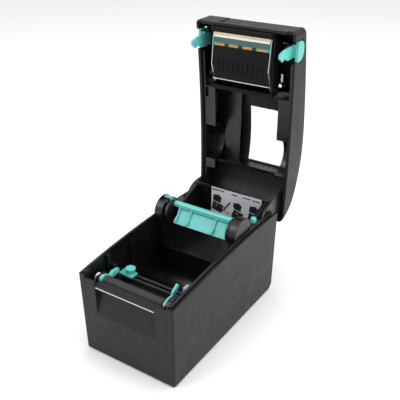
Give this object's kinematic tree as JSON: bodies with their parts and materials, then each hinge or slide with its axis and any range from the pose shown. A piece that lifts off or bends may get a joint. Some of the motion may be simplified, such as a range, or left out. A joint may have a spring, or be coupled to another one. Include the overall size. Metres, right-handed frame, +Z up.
{
  "type": "receipt printer",
  "caption": "Compact direct-thermal receipt printer with a deep roll bay, its hinged lid thrown open to show the print head.",
  "frame": {"origin": "on the surface under the feet, below the middle of the open printer's box", "axes": "+Z up, -Y out of the front where paper leaves, +X to the right seen from the front"},
  "size_m": [0.1018, 0.2298, 0.2594],
  "materials": {
    "case_black": "fine textured moulding",
    "inner_black": "smooth moulding",
    "turquoise": "satin moulded",
    "white_nylon": "satin",
    "grey_plastic": "satin",
    "steel": "plated sheet",
    "pin_steel": "ground",
    "alu": "milled",
    "gold_edge": "glazed",
    "ceramic": "glazed",
    "pcb": "solder mask",
    "copper": "plated",
    "chip": "moulded",
    "roller": "ground",
    "foot": "matt",
    "label": "printed film",
    "clear": "clear",
    "lens": "frosted"
  },
  "bodies": {
    "base": {"base_housing": "case_black", "bottom_plate": "case_black", "rubber_feet": "foot", "case_screws": "steel", "media_tub": "inner_black", "front_panel": "case_black", "tear_bar": "steel", "stepper_motor": "steel", "gear_bracket": "steel", "platen_bracket": "inner_black", "gear_cover": "inner_black", "platen_bush_left": "white_nylon", "platen_bush_right": "white_nylon", "sensor_rail": "inner_black", "cover_sensor": "grey_plastic", "roll_hub_left": "inner_black", "roll_hub_right": "inner_black", "loading_label": "label", "hinge_pins": "pin_steel", "main_board": "pcb", "board_parts": "chip", "board_posts": "inner_black", "power_inlet": "chip", "usb_port": "steel", "serial_port": "grey_plastic", "switch_frame": "chip"},
    "platen": {"platen_shaft": "pin_steel", "platen_roller": "roller", "platen_gear": "white_nylon"},
    "idler": {"idler_gear": "white_nylon"},
    "motor_rotor": {"motor_pinion": "white_nylon"},
    "lever_left": {"platen_lever_left": "turquoise"},
    "lever_right": {"platen_lever_right": "turquoise"},
    "slider": {"sensor_slider": "turquoise"},
    "roll_guide": {"roll_bar": "turquoise", "roll_discs": "inner_black", "bar_tab": "turquoise"},
    "lock": {"lock_button": "turquoise"},
    "rocker": {"power_rocker": "chip"},
    "lid": {"lid_shell": "case_black", "window_pane": "clear", "lid_liner": "inner_black", "head_cradle": "inner_black", "head_pins": "pin_steel", "head_springs": "pin_steel", "pull_spring": "pin_steel", "led_lens": "lens", "button_board": "pcb"},
    "feed": {"feed_button": "turquoise"},
    "print_head": {"head_bracket": "steel", "heat_sink": "alu", "head_edge": "gold_edge", "head_ceramic": "ceramic", "head_board": "pcb", "head_contacts": "copper", "head_chips": "chip", "head_cover": "inner_black"},
    "release_left": {"release_button_left": "turquoise"},
    "release_right": {"release_button_right": "turquoise"}
  },
  "joints": [
    {"name": "lid_hinge", "type": "hinge", "parent": "base", "child": "lid", "pos_m": [0, 0.06727, 0.0768], "axis": [1, 0, 0], "range_deg": [0, 89.1]},
    {"name": "platen_spin", "type": "hinge", "parent": "base", "child": "platen", "pos_m": [0, -0.09943, 0.075], "axis": [1, 0, 0], "continuous": true},
    {"name": "idler_spin", "type": "hinge", "parent": "base", "child": "idler", "pos_m": [0.0392, -0.09183, 0.0607], "axis": [1, 0, 0], "continuous": true},
    {"name": "motor_spin", "type": "hinge", "parent": "base", "child": "motor_rotor", "pos_m": [0.0392, -0.08856, 0.04853], "axis": [1, 0, 0], "continuous": true},
    {"name": "lever_left_turn", "type": "hinge", "parent": "base", "child": "lever_left", "pos_m": [-0.0348, -0.09943, 0.075], "axis": [1, 0, 0], "range_deg": [0, 34]},
    {"name": "lever_right_turn", "type": "hinge", "parent": "base", "child": "lever_right", "pos_m": [0.0332, -0.09943, 0.075], "axis": [1, 0, 0], "range_deg": [-34, 0]},
    {"name": "sensor_slide", "type": "slide", "parent": "base", "child": "slider", "axis": [1, 0, 0], "range_m": [0, 0.05]},
    {"name": "roll_guide_turn", "type": "hinge", "parent": "base", "child": "roll_guide", "pos_m": [0, 0.00557, 0.0951], "axis": [1, 0, 0], "range_deg": [-20, 25]},
    {"name": "lock_press", "type": "slide", "parent": "base", "child": "lock", "axis": [0, 0, -1], "range_m": [0, 0.0015], "stiffness_N_per_m": 300, "springref_m": -0.002},
    {"name": "power_rock", "type": "hinge", "parent": "base", "child": "rocker", "pos_m": [-0.038, 0.06607, 0.0336], "axis": [1, 0, 0], "range_deg": [0, 16]},
    {"name": "feed_press", "type": "slide", "parent": "lid", "child": "feed", "axis": [0, -0.9999, -0.0157], "range_m": [0, 0.001], "stiffness_N_per_m": 250, "springref_m": -0.001},
    {"name": "head_float", "type": "hinge", "parent": "lid", "child": "print_head", "pos_m": [0, 0.07552, 0.20765], "axis": [-1, 0, 0], "range_deg": [0, 2], "stiffness_Nm_per_rad": 2, "springref_deg": -2.86},
    {"name": "release_left_press", "type": "slide", "parent": "lid", "child": "release_left", "axis": [1, 0, 0], "range_m": [0, 0.001], "stiffness_N_per_m": 400, "springref_m": -0.002},
    {"name": "release_right_press", "type": "slide", "parent": "lid", "child": "release_right", "axis": [-1, 0, 0], "range_m": [0, 0.001], "stiffness_N_per_m": 400, "springref_m": -0.002}
  ],
  "couplings": [
    {"joint": "idler_spin", "follows": "platen_spin", "ratio": -0.8},
    {"joint": "motor_spin", "follows": "platen_spin", "ratio": 2}
  ]
}
